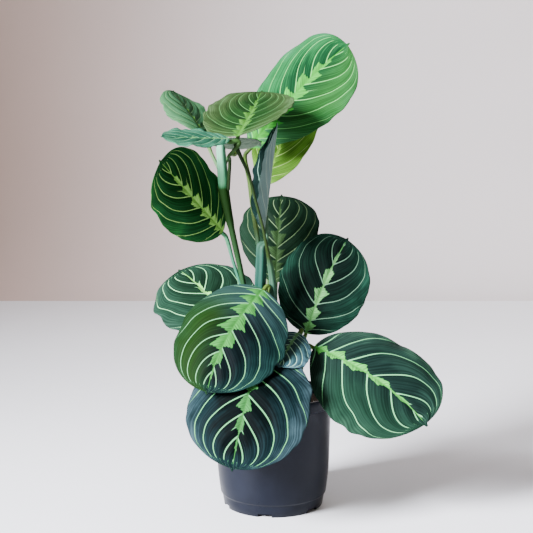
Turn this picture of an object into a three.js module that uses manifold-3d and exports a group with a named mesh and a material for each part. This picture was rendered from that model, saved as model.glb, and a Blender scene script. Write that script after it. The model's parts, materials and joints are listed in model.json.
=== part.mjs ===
// A potted prayer plant: a nursery pot filled with soil, two cane stems, a leaf sheath, and fifteen
// broad leaves on thin petioles. Millimetres, +Z up, +X to the right and +Y away from the viewer.
// The origin is the middle of the pot's foot, on the surface that the pot stands on.

import * as THREE from 'three';
import { mergeVertices } from 'three/addons/utils/BufferGeometryUtils.js';
import Module from 'manifold-3d';

const wasm = await Module();
wasm.setup();

// Driving dimensions of the pot
const POT_FLOOR_UNDERSIDE = 5;
const POT_FLOOR_TOP = 7;
const FOOT_RADIUS = 47;
const FOOT_RING_WIDTH = 2.4;
const FOOT_PAD_RADIUS = 8;
const DRAINS = 6;
const DRAIN_RADIUS = 4.5;
const DRAIN_CIRCLE = 30;
const DRAIN_CUT = 12;
const NOTCH_WIDTH = 13;
const NOTCH_HEIGHT = 3;
const NOTCH_DEPTH = 12;
const NOTCH_FIRST_ANGLE = -100;

// The pot's outside from the foot up to the rim, then its inside down to the floor, each point
// as a radius and a height: a foot step, a slightly flared wall and a collar below the rim
const POT_OUTSIDE = [
  [FOOT_RADIUS, 0], [48.3, 8], [48.6, 11], [50.4, 13], [53, 36], [54.2, 85], [54.6, 96],
  [56.6, 97], [57, 98.5], [57, 106.5], [56.2, 108],
];
const POT_INSIDE = [
  [54.4, 108], [53.8, 107], [52.8, 96], [52.4, 85], [51.2, 36], [48.6, 14.5], [46.8, 12],
  [46.4, POT_FLOOR_TOP],
];

// Driving dimensions of the plant
const SOIL_TOP = 98;
const STEM_FOOT = 78;
const GAP = 0.3;
const BLADE_THICKNESS = 0.8;
const PETIOLE_RADIUS = 1.6;
const PULVINUS_RADIUS = 2;
const PULVINUS_LENGTH = 9;

// Where a petiole narrows out under the midrib: shares of the blade's length, and the radii there
const PETIOLE_ENDING = [{ share: 0.08, radius: 1.17 }, { share: 0.16, radius: 0.9 }];

// The outline of a blade, in shares of its length and of its half width: a blunt oval whose ends
// keep some width, and a short point at the tip that narrows over POINT_RUN
const OVAL_POWER = 2.25;
const BLADE_BASE_SHARE = 0.05;
const BLADE_TIP_SHARE = 0.02;
const POINT_SHARE = 0.06;
const POINT_LENGTH = 0.035;
const POINT_RUN = 0.077;

// The waves along each margin, and where in a wave the left and right margins start
const WAVES = 3;
const WAVE_START_LEFT = 0.45;
const WAVE_START_RIGHT = 0.1;

// How finely the round and waved shapes are divided
const POT_SIDES = 40;
const STEM_SIDES = 10;
const PETIOLE_SIDES = 8;
const BLADE_ROWS = 14;
const BLADE_COLUMNS = 8;
const ROW_CROWDING = 0.11;
const MIDRIB_STEPS = 48;
const PETIOLE_STEPS = 13;
const DRAIN_SIDES = 12;

const COLOURS = {
  pot: { color: 0x3a3f4c, roughness: 0.62 },
  soil: { color: 0x3b2c20, roughness: 0.95 },
  stem: { color: 0x3f5640, roughness: 0.5 },
  sheath: { color: 0x5f8f78, roughness: 0.5 },
  petiole: { color: 0x5a7844, roughness: 0.5 },
  leaf: { color: 0x2f5440, roughness: 0.42 },
  youngLeaf: { color: 0x5f8a48, roughness: 0.45 },
};

// Each blade starts at its base point. Its midrib heads that way (0 is +X, 90 is away from the
// viewer) at that pitch, bends down by droop degrees and sideways by sway. The blade is rolled
// about its midrib with its right side down, by roll at the base and by roll + twist at the tip.
// Cup is how far the right and left halves curl up (or down, below 0) in degrees per half width.
// Peak sets how far from the base the blade is widest, and wave is the height of its waved margin.
const LEAVES = {
  top: {
    base: [-23, 66, 336], heading: 0, pitch: 52, roll: 65, length: 140, width: 92,
    droop: 14, cup: [-10, -35], peak: 1.5, wave: 1.5, young: true,
  },
  top_back: {
    base: [-10, 92, 298], heading: 20, pitch: 65, roll: 50, length: 108, width: 63,
    droop: 0, cup: [10, 10], peak: 1.3, wave: 1.2, young: true,
  },
  crown: {
    base: [-33, -40, 349], heading: 76, pitch: 22, roll: -11, length: 100, width: 84,
    droop: -6, cup: [15, 15], twist: 14, peak: 1.0, wave: 1,
  },
  upper_left: {
    base: [-64, 22, 348], heading: 127, pitch: 40, roll: 24, length: 70, width: 54,
    droop: 5, cup: [30, -50], peak: 1.2, wave: 1, young: true,
  },
  level_left: {
    base: [-39, -60, 347], heading: -165, pitch: 2, roll: -15, length: 60, width: 54,
    droop: 0, cup: [0, 0], peak: 1.2, wave: 1.2,
  },
  level_back: {
    base: [-36, 38, 335], heading: -85, pitch: 15, roll: 0, length: 46, width: 46,
    droop: 0, cup: [0, 0], peak: 1.2, wave: 1,
  },
  left: {
    base: [-47, 0, 260], heading: 225, pitch: 42, roll: -84, length: 102, width: 77,
    droop: 0, cup: [-8, -30], peak: 1.2, wave: 1,
  },
  folded: {
    base: [-9, -8, 260], heading: 0, pitch: 83, roll: 0, length: 101, width: 60,
    droop: 0, cup: [40, 72], peak: 0.85, wave: 0.5,
  },
  back: {
    base: [2, 44, 205], heading: 80, pitch: 76, roll: 0, length: 93, width: 80,
    droop: 25, cup: [-15, -15], peak: 1.45, wave: 1,
  },
  right_back: {
    base: [31, 10, 162], heading: 25, pitch: 70, roll: 62, length: 100, width: 85,
    droop: 16, cup: [-10, -15], peak: 1.05, wave: 1,
  },
  low_left: {
    base: [-33, -5, 163], heading: 135, pitch: 43, roll: -20, length: 101, width: 106,
    droop: 25, cup: [-15, -15], peak: 1.2, wave: 1,
  },
  front: {
    base: [-10, -18, 208], heading: -132, pitch: -30, roll: -25, length: 116, width: 106,
    droop: 45, cup: [-30, -30], peak: 1.0, wave: 1,
  },
  right: {
    base: [38, -15, 154], heading: -31, pitch: -14, roll: 40, length: 131, width: 113,
    droop: 32, cup: [-5, -35], peak: 1.2, wave: 1.2,
  },
  bottom: {
    base: [-10, -30, 158], heading: -104, pitch: -30, roll: 0, length: 127, width: 115,
    droop: 55, cup: [-20, -20], sway: 9, peak: 1.1, wave: 1,
  },
  curled: {
    base: [23, -20, 168], heading: -115, pitch: -20, roll: -15, length: 50, width: 44,
    droop: 20, cup: [-10, -30], peak: 1.2, wave: 0.5,
  },
};

// Stems and petioles: points along the axis and the radius at each. One that carries a blade
// runs on under that blade's midrib. One with a parent grows out of that stem, and the others
// stand in the soil.
const STEMS = {
  stem_left: {
    colour: 'stem', sides: STEM_SIDES, steps: 18,
    points: [[-12, 2, STEM_FOOT], [-19, 1, 158], [-27, 0, 205], [-39, 0, 262], [-41, 0, 271],
      [-46, 0, 297], [-46.5, 0, 303], [-49, 0, 341]],
    radii: [2.8, 2.6, 2.5, 2.9, 3.8, 4.9, 5, 4.2],
  },
  stem_centre: {
    colour: 'stem', sides: PETIOLE_SIDES, steps: 20, carries: 'top',
    points: [[0, 7, STEM_FOOT], [-6, 6, 150], [-10, 6, 206], [-15, 18, 250], [-20, 31, 283],
      [-23, 45, 305]],
    radii: [2.8, 2.6, 2.4, 2.2, 2.4, 2.4],
  },
  sheath_folded: {
    colour: 'sheath', sides: STEM_SIDES, steps: 16, carries: 'folded',
    points: [[-3, -5, STEM_FOOT], [-8, -6, 150], [-12.5, -6, 206], [-11.5, -7, 238]],
    radii: [3.2, 4.6, 5.3, 5],
  },
  petiole_top_back: {
    points: [[-4, 21, STEM_FOOT], [-5, 50, 205], [-9, 78, 262]],
  },
  petiole_crown: {
    points: [[6, -3, STEM_FOOT], [2, -6, 160], [-0.5, -6, 206], [-2, -9, 222],
      [-6, -24, 246], [-10, -35, 268], [-16, -42, 291], [-22, -45, 314]],
    radii: [2.4, 3, 3.6, 3, 1.5, 1.3, 1.3, 1.3], steps: 20,
  },
  petiole_upper_left: {
    parent: 'stem_left', points: [[-46.5, 0, 306], [-51, 6, 318], [-58, 13, 332]], steps: 9,
  },
  petiole_level_left: {
    parent: 'stem_left', steps: 12,
    points: [[-42, -2, 298], [-41, -6, 310], [-40, -14, 326], [-40, -38, 331], [-35, -57, 337]],
  },
  petiole_left: {
    parent: 'stem_left', points: [[-22, 0, 180], [-28.5, 5, 200], [-33, 5, 216], [-38, 4, 232]],
    steps: 11,
  },
  petiole_level_back: {
    parent: 'stem_left', points: [[-46, 2, 310], [-45, 12, 322], [-41, 26, 330]], steps: 9,
  },
  petiole_back: { points: [[5, 20, STEM_FOOT], [4, 32, 150], [2, 40, 182]] },
  petiole_right_back: { points: [[14, 4, STEM_FOOT], [22, 6, 130], [25, 9, 145]] },
  petiole_low_left: { points: [[-20, -9, STEM_FOOT], [-25, -13, 130], [-26, -12, 148]] },
  petiole_front: {
    points: [[-9, -14, STEM_FOOT], [-10, -15, 160], [-7, -14, 194], [-5, -13, 206]],
  },
  petiole_right: { points: [[15, -4, STEM_FOOT], [26, -9, 130], [29, -11, 150]] },
  petiole_bottom: { points: [[-2, -20, STEM_FOOT], [-5, -21, 130], [-8, -21, 155]] },
  petiole_curled: { points: [[10, -14, STEM_FOOT], [18, -11, 140], [24, -8, 160]] },
};

// Makes a closed geometry from points and triangles, with its faces pointing out
function closedGeometry(points, triangles) {
  const geometry = new THREE.BufferGeometry();
  geometry.setAttribute('position', new THREE.Float32BufferAttribute(points.flat(), 3));
  const [a, b, c] = [new THREE.Vector3(), new THREE.Vector3(), new THREE.Vector3()];
  let volume = 0;
  for (const [i, j, k] of triangles) {
    volume += a.fromArray(points[i]).dot(b.fromArray(points[j]).cross(c.fromArray(points[k])));
  }
  const facing = volume > 0 ? triangles : triangles.map(([i, j, k]) => [i, k, j]);
  geometry.setIndex(facing.flat());
  geometry.computeVertexNormals();
  return geometry;
}

function toSolid(geometry) {
  const bare = geometry.clone();
  bare.deleteAttribute('normal');
  bare.deleteAttribute('uv');
  const merged = mergeVertices(bare);
  return new wasm.Manifold(new wasm.Mesh({
    numProp: 3,
    vertProperties: new Float32Array(merged.attributes.position.array),
    triVerts: new Uint32Array(merged.index.array),
  }));
}

function toGeometry(solid) {
  const mesh = solid.getMesh();
  const geometry = new THREE.BufferGeometry();
  geometry.setAttribute('position', new THREE.BufferAttribute(mesh.vertProperties, 3));
  geometry.setIndex(new THREE.BufferAttribute(mesh.triVerts, 1));
  geometry.computeVertexNormals();
  return geometry;
}

const radians = THREE.MathUtils.degToRad;

// Turns one of two unit vectors towards the other
function turned(from, towards, degrees) {
  const [c, s] = [Math.cos(radians(degrees)), Math.sin(radians(degrees))];
  return [
    from.clone().multiplyScalar(c).addScaledVector(towards, s),
    towards.clone().multiplyScalar(c).addScaledVector(from, -s),
  ];
}

// The points of a midrib, each with its direction, the blade's right side and its upper side
function midrib({ base, heading, pitch, roll, length, droop, sway = 0, twist = 0 }) {
  const [h, p] = [radians(heading), radians(pitch)];
  let along = new THREE.Vector3(Math.cos(h) * Math.cos(p), Math.sin(h) * Math.cos(p), Math.sin(p));
  let right = new THREE.Vector3(Math.sin(h), -Math.cos(h), 0);
  let up = right.clone().cross(along);
  const at = new THREE.Vector3(...base);
  const rows = [];
  for (let i = 0; i <= MIDRIB_STEPS; i++) {
    const [side, face] = turned(right, up, -(roll + twist * i / MIDRIB_STEPS));
    rows.push({ at: at.clone(), along: along.clone(), side, face });
    const share = (i + 0.5) / MIDRIB_STEPS;
    [along, up] = turned(along, up, -droop / MIDRIB_STEPS * (0.5 + share));
    [along, right] = turned(along, right, sway / MIDRIB_STEPS);
    at.addScaledVector(along, length / MIDRIB_STEPS);
  }
  return rows;
}

function rowAt(rows, u) {
  const x = Math.min(Math.max(u, 0), 1) * MIDRIB_STEPS;
  const i = Math.min(Math.floor(x), MIDRIB_STEPS - 1);
  const mix = (key) => rows[i][key].clone().lerp(rows[i + 1][key], x - i);
  return { at: mix('at'), along: mix('along'), side: mix('side'), face: mix('face') };
}

// The half width at a share of the length, as a share of half the width: a blunt oval with a point
function halfWidth(u, peak) {
  const body = Math.min(u / (1 - POINT_LENGTH), 1);
  const oval = Math.sqrt(Math.max(1 - Math.abs(1 - 2 * body ** peak) ** OVAL_POWER, 0));
  const point = Math.min(POINT_SHARE, POINT_SHARE * (1 - u) / POINT_RUN);
  const ends = u < 0.5 ? BLADE_BASE_SHARE : BLADE_TIP_SHARE;
  return Math.max(oval, u > 0.5 ? point : 0, ends);
}

// The point on the middle of the blade, and its upward normal, at a share u along the midrib and
// a share v across, from -1 at the left margin to 1 at the right margin
function bladePoint(leaf, rows, u, v) {
  const { at, side, face } = rowAt(rows, u);
  const half = leaf.width / 2;
  const out = Math.abs(v) * halfWidth(u, leaf.peak) * half;
  const sign = v < 0 ? -1 : 1;
  const bend = radians(v < 0 ? leaf.cup[1] : leaf.cup[0]) / half;
  const flat = Math.abs(bend) < 1e-6;
  const across = flat ? out : Math.sin(bend * out) / bend;
  const start = v < 0 ? WAVE_START_LEFT : WAVE_START_RIGHT;
  const ripple = leaf.wave * Math.abs(v) ** 3 * Math.sin(2 * Math.PI * (WAVES * u + start));
  const lift = (flat ? 0 : (1 - Math.cos(bend * out)) / bend) + ripple * halfWidth(u, leaf.peak);
  const point = at.addScaledVector(side, sign * across).addScaledVector(face, lift);
  const normal = face.clone().multiplyScalar(Math.cos(bend * out));
  normal.addScaledVector(side, -sign * Math.sin(bend * out)).normalize();
  return { point, normal };
}

// The shares of the length where a blade is divided, closer together at its round ends
const bladeShares = Array.from({ length: BLADE_ROWS + 1 }, (_, i) => {
  const t = i / BLADE_ROWS;
  return t - ROW_CROWDING * Math.sin(2 * Math.PI * t);
});

// A blade is two like faces, half the thickness above and below its middle, closed by its edges
function bladeGeometry(leaf) {
  const rows = midrib(leaf);
  const points = [];
  const triangles = [];
  const wide = BLADE_COLUMNS + 1;
  for (const offset of [BLADE_THICKNESS / 2, -BLADE_THICKNESS / 2]) {
    for (const u of bladeShares) {
      for (let j = 0; j <= BLADE_COLUMNS; j++) {
        const { point, normal } = bladePoint(leaf, rows, u, 2 * j / BLADE_COLUMNS - 1);
        points.push(point.addScaledVector(normal, offset).toArray());
      }
    }
  }
  const lower = points.length / 2;
  for (let i = 0; i < BLADE_ROWS; i++) {
    for (let j = 0; j < BLADE_COLUMNS; j++) {
      const a = i * wide + j;
      const [b, c, d] = [a + 1, a + wide, a + wide + 1];
      const pair = j < BLADE_COLUMNS / 2 ? [[a, b, d], [a, d, c]] : [[a, b, c], [b, d, c]];
      triangles.push(...pair, ...pair.map(([p, q, r]) => [p + lower, r + lower, q + lower]));
    }
  }
  const edge = [];
  for (let j = 0; j < BLADE_COLUMNS; j++) edge.push(j);
  for (let i = 0; i < BLADE_ROWS; i++) edge.push(i * wide + BLADE_COLUMNS);
  for (let j = BLADE_COLUMNS; j > 0; j--) edge.push(BLADE_ROWS * wide + j);
  for (let i = BLADE_ROWS; i > 0; i--) edge.push(i * wide);
  edge.forEach((a, i) => {
    const b = edge[(i + 1) % edge.length];
    triangles.push([b, a, a + lower], [b, a + lower, b + lower]);
  });
  return closedGeometry(points, triangles);
}

// The axis and radii of a stem, led on under the midrib of the blade that it carries
function stemAxis({ points, radii, carries }) {
  const axis = points.map((point) => new THREE.Vector3(...point));
  const widths = radii ? [...radii] : points.map(() => PETIOLE_RADIUS);
  if (carries) {
    const rows = midrib(LEAVES[carries]);
    const under = (u, radius, ahead) => {
      const { at, along, face } = rowAt(rows, u);
      const depth = BLADE_THICKNESS / 2 + GAP + radius;
      axis.push(at.addScaledVector(along, ahead).addScaledVector(face, -depth));
      widths.push(radius);
    };
    under(0, PULVINUS_RADIUS, -PULVINUS_LENGTH);
    under(0, PULVINUS_RADIUS, -1);
    for (const { share, radius } of PETIOLE_ENDING) under(share, radius, 0);
  }
  return { curve: new THREE.CatmullRomCurve3(axis, false, 'centripetal'), widths };
}

// A round tube of changing radius with closed ends, and grown by a clearance where that is given
function tubeGeometry(stem, clearance = 0) {
  const { curve, widths } = stemAxis(stem);
  const steps = stem.steps ?? PETIOLE_STEPS;
  const sides = stem.sides ?? PETIOLE_SIDES;
  const points = [];
  const triangles = [];
  const shares = Array.from({ length: steps + 1 }, (_, i) => i / steps);
  let side = new THREE.Vector3(1, 0, 0);
  for (const t of shares) {
    const at = curve.getPoint(t);
    const along = curve.getTangent(t);
    side = side.addScaledVector(along, -side.dot(along)).normalize();
    const other = along.clone().cross(side);
    const place = t * (widths.length - 1);
    const low = Math.min(Math.floor(place), widths.length - 2);
    const radius = THREE.MathUtils.lerp(widths[low], widths[low + 1], place - low) + clearance;
    if (t === 0) at.addScaledVector(along, -clearance);
    for (let j = 0; j < sides; j++) {
      const angle = 2 * Math.PI * j / sides;
      const rim = at.clone().addScaledVector(side, radius * Math.cos(angle));
      points.push(rim.addScaledVector(other, radius * Math.sin(angle)).toArray());
    }
  }
  for (let i = 0; i < steps; i++) {
    for (let j = 0; j < sides; j++) {
      const a = i * sides + j;
      const b = i * sides + (j + 1) % sides;
      triangles.push([a, b, b + sides], [a, b + sides, a + sides]);
    }
  }
  const last = steps * sides;
  for (let j = 1; j < sides - 1; j++) {
    triangles.push([0, j + 1, j], [last, last + j, last + j + 1]);
  }
  return closedGeometry(points, triangles);
}

function stemGeometry(stem) {
  if (!stem.parent) return tubeGeometry(stem);
  const room = toSolid(tubeGeometry(STEMS[stem.parent], GAP));
  const pieces = toSolid(tubeGeometry(stem)).subtract(room).decompose();
  return toGeometry(pieces.reduce((a, b) => (a.volume() > b.volume() ? a : b)));
}

function latheSolid(profile) {
  const points = profile.map(([radius, height]) => new THREE.Vector2(radius, height));
  return toSolid(new THREE.LatheGeometry(points, POT_SIDES).rotateX(Math.PI / 2));
}

// The pot: a foot ring and a middle pad under a raised floor, with notches in the ring and drain
// holes in the floor between them
function potGeometry() {
  const ring = FOOT_RADIUS - FOOT_RING_WIDTH;
  let solid = latheSolid([
    [0, 0], [FOOT_PAD_RADIUS, 0], [FOOT_PAD_RADIUS, POT_FLOOR_UNDERSIDE],
    [ring, POT_FLOOR_UNDERSIDE], [ring, 0], ...POT_OUTSIDE, ...POT_INSIDE, [0, POT_FLOOR_TOP],
  ]);
  for (let i = 0; i < DRAINS; i++) {
    const angle = radians(NOTCH_FIRST_ANGLE + 360 * i / DRAINS);
    const notch = new THREE.BoxGeometry(NOTCH_DEPTH, NOTCH_WIDTH, NOTCH_HEIGHT * 2);
    notch.translate(FOOT_RADIUS, 0, 0).rotateZ(angle);
    const drain = new THREE.CylinderGeometry(DRAIN_RADIUS, DRAIN_RADIUS, DRAIN_CUT, DRAIN_SIDES);
    drain.rotateX(Math.PI / 2).translate(DRAIN_CIRCLE, 0, POT_FLOOR_TOP);
    drain.rotateZ(angle + Math.PI / DRAINS);
    solid = solid.subtract(toSolid(notch)).subtract(toSolid(drain));
  }
  return toGeometry(solid);
}

// The soil fills the pot up to its flat top, with a plain hole for each stem that stands in it
function soilGeometry() {
  const foot = POT_FLOOR_TOP + GAP;
  const side = POT_INSIDE.filter(([, height]) => height < SOIL_TOP).reverse()
    .map(([radius, height]) => [radius - GAP, Math.max(height, foot)]);
  const top = side[side.length - 1][0];
  let solid = latheSolid([[0, foot], ...side, [top, SOIL_TOP], [0, SOIL_TOP]]);
  for (const stem of Object.values(STEMS)) {
    if (!stem.parent) solid = solid.subtract(toSolid(tubeGeometry(stem, GAP)));
  }
  return toGeometry(solid);
}

const group = new THREE.Group();

function add(name, geometry, colour) {
  const material = new THREE.MeshStandardMaterial({ ...COLOURS[colour], metalness: 0 });
  const mesh = new THREE.Mesh(geometry, material);
  mesh.name = name;
  group.add(mesh);
}

// A petiole carries the leaf that it is named after
for (const [name, stem] of Object.entries(STEMS)) {
  const leaf = name.replace('petiole_', '');
  if (LEAVES[leaf]) stem.carries = leaf;
}

add('pot', potGeometry(), 'pot');
add('soil', soilGeometry(), 'soil');
for (const [name, stem] of Object.entries(STEMS)) {
  add(name, stemGeometry(stem), stem.colour ?? 'petiole');
}
for (const [name, leaf] of Object.entries(LEAVES)) {
  add(`leaf_${name}`, bladeGeometry(leaf), leaf.young ? 'youngLeaf' : 'leaf');
}

export default group;
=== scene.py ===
"""A prayer plant in a nursery pot: veined, feathered blades on petioles that stand in potting soil.

The tables are in millimetres: +Z up, +X to the right, +Y away from the viewer, and the origin in the
middle of the pot's foot. What is built from them is in metres.
"""

import json
import math
import random
from functools import partial

import bmesh
import bpy
from bpy.props import FloatProperty, FloatVectorProperty, IntProperty, PointerProperty
from mathutils import Matrix, Vector, noise
from mathutils.geometry import interpolate_bezier


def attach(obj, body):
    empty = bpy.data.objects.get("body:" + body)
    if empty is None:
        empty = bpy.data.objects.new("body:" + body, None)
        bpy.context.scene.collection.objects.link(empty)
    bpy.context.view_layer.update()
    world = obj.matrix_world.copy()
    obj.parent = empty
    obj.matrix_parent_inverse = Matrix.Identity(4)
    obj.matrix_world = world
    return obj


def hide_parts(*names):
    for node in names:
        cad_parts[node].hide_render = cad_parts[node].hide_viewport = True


bl_info = {
    "name": "Potted Prayer Plant",
    "version": (1, 0, 0),
    "blender": (4, 5, 0),
    "location": "3D View > Sidebar > Plant",
    "description": "Builds a prayer plant with veined and feathered leaves in a nursery pot",
    "category": "Object",
}

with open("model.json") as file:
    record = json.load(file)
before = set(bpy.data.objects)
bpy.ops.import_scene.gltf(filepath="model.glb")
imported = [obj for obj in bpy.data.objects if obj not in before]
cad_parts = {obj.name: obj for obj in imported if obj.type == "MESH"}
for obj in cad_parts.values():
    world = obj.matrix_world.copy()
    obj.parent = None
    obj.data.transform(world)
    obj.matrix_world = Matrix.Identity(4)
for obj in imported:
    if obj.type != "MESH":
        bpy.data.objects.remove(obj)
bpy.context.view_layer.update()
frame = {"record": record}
MM = 0.001

# Vertices nearer than this are merged on a turned body and at a stem's seam, in mm
MERGE_DISTANCE = 0.01
SEAM_DISTANCE = 0.001

# Sizes of the plant

# The outline of a blade, in shares of its length and of its half width
OVAL_POWER = 2.25
BLADE_BASE_SHARE = 0.05
BLADE_TIP_SHARE = 0.012
POINT_SHARE = 0.06
POINT_LENGTH = 0.022
POINT_RUN = 0.077
MIDRIB_STEPS = 48

# The waves along each margin, and where in a wave the left and right margins start
WAVES = 3
WAVE_START_LEFT = 0.45
WAVE_START_RIGHT = 0.1

# How unevenly each margin has grown: its bays as a share of the half width, its ruffle in mm
EDGE_BAYS = 0.06
EDGE_RUFFLE = 3.2

# A side vein leaves the midrib at a share w of the length, rises on a slope that grows with w, and
# curls up along the margin. The interval to the next vein is VEIN_STEP at the base of the blade and
# grows with w as far as VEIN_EVEN.
VEIN_RISE = 0.08
VEIN_SPREAD = 0.6
VEIN_CURL = 0.64
VEIN_CURL_END = 0.36
VEIN_STEP = 0.07
VEIN_GROWTH = 0.35
VEIN_EVEN = 0.33

# The vein through a place is found by halving this range of w
VEIN_SEARCH = (-0.1, 1)
VEIN_HALVINGS = 16

# Added to the count of veins, which so stays above zero
VEIN_FIRST = 20

# How far the veins wander, as a share of the interval, and the face rises and falls with them, in mm
VEIN_WOBBLE = 0.12
FACE_WOBBLE = 0.5

# How far the face stands up between two veins and sinks along the midrib, in mm. The pleats grow
# over PLEAT_START from the midrib, and are full where the interval is WIDE_INTERVAL or more and
# the half width NARROW_BLADE or more.
PLEAT = 1.3
PLEAT_START = 4
WIDE_INTERVAL = 14
NARROW_BLADE = 12
GROOVE = 0.5
GROOVE_REACH = 1.6

# How closely the rows of a blade are drawn together at its ends and its columns at the midrib
ROW_BUNCHING = 0.11
COLUMN_BUNCHING = 1.12

# Each UV map of a blade carries two numbers: the veins counted and their interval in half widths of
# a vein, the distance from the midrib and the feather's reach in mm, the closeness to the margin and
# how plainly the veins show, and the shares along and across
BLADE_MAPS = ("veins", "feather", "margin", "blade")

# The outline of a lobe of the feather, from one vein to the next, as shares of its reach
LOBE_OUTLINE = (
    (0, 0.36), (0.05, 0.62), (0.13, 0.55), (0.21, 0.78), (0.27, 0.7), (0.42, 1.0), (0.48, 1.0),
    (0.53, 0.72), (0.6, 0.7), (0.68, 0.42), (0.74, 0.44), (0.86, 0.18), (1, 0.14))

# Each blade: where it starts, its heading, pitch and roll there in degrees, its length and width, how
# far its midrib droops and how far its right and left halves cup in degrees, how near the tip it is
# widest (1 is midway), the height of its waves, and how far it twists and sways in degrees
LEAF_COLUMNS = ("base", "heading", "pitch", "roll", "length", "width", "droop", "cup", "peak", "wave",
                "twist", "sway")
LEAF_ROWS = {
    "top": ((-23, 66, 336), 0, 52, 65, 140, 92, 14, (-10, -35), 1.5, 1.5, 0, 0),
    "top_back": ((-10, 92, 298), 20, 65, 50, 108, 63, 0, (10, 10), 1.3, 1.2, 0, 0),
    "crown": ((-33, -40, 349), 76, 22, -11, 100, 84, -6, (15, 15), 1.0, 1, 14, 0),
    "upper_left": ((-64, 22, 348), 127, 40, 24, 70, 54, 5, (30, -50), 1.2, 1, 0, 0),
    "level_left": ((-39, -60, 347), -165, 2, -15, 60, 54, 0, (0, 0), 1.2, 1.2, 0, 0),
    "level_back": ((-36, 38, 335), -85, 15, 0, 46, 46, 0, (0, 0), 1.2, 1, 0, 0),
    "left": ((-47, 0, 260), 225, 42, -84, 102, 77, 0, (-8, -30), 1.2, 1, 0, 0),
    "folded": ((-9, -8, 260), 0, 83, 0, 101, 60, 0, (40, 72), 0.85, 0.5, 0, 0),
    "back": ((2, 44, 205), 80, 76, 0, 93, 80, 25, (-15, -15), 1.45, 1, 0, 0),
    "right_back": ((31, 10, 162), 25, 70, 62, 100, 85, 16, (-10, -15), 1.05, 1, 0, 0),
    "low_left": ((-33, -5, 163), 135, 43, -20, 101, 106, 25, (-15, -15), 1.2, 1, 0, 0),
    "front": ((-10, -18, 208), -132, -30, -25, 116, 106, 45, (-30, -30), 1.0, 1, 0, 0),
    "right": ((38, -15, 154), -31, -14, 40, 131, 113, 32, (-5, -35), 1.2, 1.2, 0, 0),
    "bottom": ((-10, -30, 158), -104, -30, 0, 127, 115, 55, (-20, -20), 1.1, 1, 0, 9),
    "curled": ((23, -20, 168), -115, -20, -15, 50, 44, 20, (-10, -30), 1.2, 0.5, 0, 0),
}
LEAVES = {name: dict(zip(LEAF_COLUMNS, row)) for name, row in LEAF_ROWS.items()}

# The colours of each blade's face from its midrib out to its margin, of its feather, of its veins
# and of its underside. reach is how far the feather's lobes stand out from the midrib and line is
# how wide the veins are, in mm. veins is the interval between the veins as a share of the usual
# one, and then where the first vein of the right half and of the left half lies in its interval.
# side is painted light and shade on the right half only, and near is painted light and shade towards the
# base.
LOOK_COLUMNS = ("face", "feather", "vein", "under", "reach", "line", "veins", "side", "near")
LOOK_ROWS = {
    "top": (("#0c3018", "#165028", "#245a38"), "#2f7c28", "#589850", "#7c9a7c",
        13, 0.9, (0.8, 0.92, 0.48), "#204a1c", "#2c5838"),
    "top_back": (("#3a5c1c", "#446a20", "#4c7024"), "#5c8030", "#88a858", "#7c9460",
        4, 0.8, (0.9, 0.2, 0.7)),
    "crown": (("#122a10", "#26381c", "#364a2c"), "#386424", "#42703c", "#54784c",
        7, 0.75, (0.8, 0.5, 0.1)),
    "upper_left": (("#2c5034", "#305838", "#3a6440"), "#58883c", "#588050", "#7c9468",
        3, 0.8, (0.9, 0.1, 0.6)),
    "level_left": (("#183c2c", "#24503c", "#2e6048"), "#487c48", "#5c9068", "#5c8468",
        3, 0.8, (0.9, 0.3, 0.8)),
    "level_back": (("#3f6448", "#52785a", "#6c9070"), "#7ca868", "#a0c090", "#5f735f",
        3, 0.8, (0.9, 0.4, 0.0)),
    "left": (("#08280d", "#10381a", "#1a4a20"), "#72a648", "#86b45e", "#5c7860",
        8, 0.9, (0.83, 0.54, 0.5)),
    "folded": (("#081410", "#0c1c18", "#142824"), "#5c8c4c", "#6c9480", "#58706a",
        5, 1.0, (0.85, 0.2, 0.7)),
    "back": (("#0a180e", "#0e2014", "#101f16"), "#20321a", "#4c6040", "#6c8070",
        9, 1.0, (0.9, 0.6, 0.4)),
    "right_back": (("#07120e", "#0c2018", "#163528"), "#4c8048", "#507058", "#5c7864",
        7.5, 1.05, (1.12, 0.75, 0.75)),
    "low_left": (("#102317", "#182f22", "#223a2e"), "#6eb658", "#78bc80", "#5c7864",
        6, 1.2, (0.9, 0.3, 0.6)),
    "front": (("#040a0b", "#091918", "#18302c"), "#2c642a", "#52855a", "#5c7864",
        14, 1.25, (0.9, 0.0, 0.2), "#122803", "#1e3030"),
    "right": (("#0e1c18", "#182c24", "#2c4838"), "#408a3a", "#60a06c", "#5c7864",
        6.5, 1.5, (1.12, 0.0, 0.8), "#12291c", "#16241f"),
    "bottom": (("#020606", "#0c1a1c", "#26363a"), "#295c2b", "#4c8756", "#547060",
        9, 1.55, (0.87, 0.17, 0.08)),
    "curled": (("#243c3c", "#2e484e", "#405c64"), "#5c8860", "#88b098", "#547060",
        3, 1.0, (0.9, 0.5, 0.2)),
}
LOOKS = {name: dict(zip(LOOK_COLUMNS, row)) for name, row in LOOK_ROWS.items()}

# A stem has ridges round it and one deeper channel, and draws in at its ends
STEM_RIDGES = 5
RIDGE_SHARE = 0.6
CHANNEL_ANGLE = 4.4
CHANNEL_SPREAD = 0.05
STEM_GROOVE = 0.05
STEM_END_SHARE = 0.55

# It ends in a swollen joint, the pulvinus, and a taper below the midrib of the blade that it
# carries: the share of the blade's length there, the radius, and how far ahead of it, in mm
PULVINUS_RADIUS = 2
PULVINUS_LENGTH = 9
STEM_ENDING = ((0, PULVINUS_RADIUS, -PULVINUS_LENGTH), (0, PULVINUS_RADIUS, -1), (0.08, 1.17, 0),
               (0.16, 0.9, 0))
BLADE_CLEARANCE = 0.7

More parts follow.
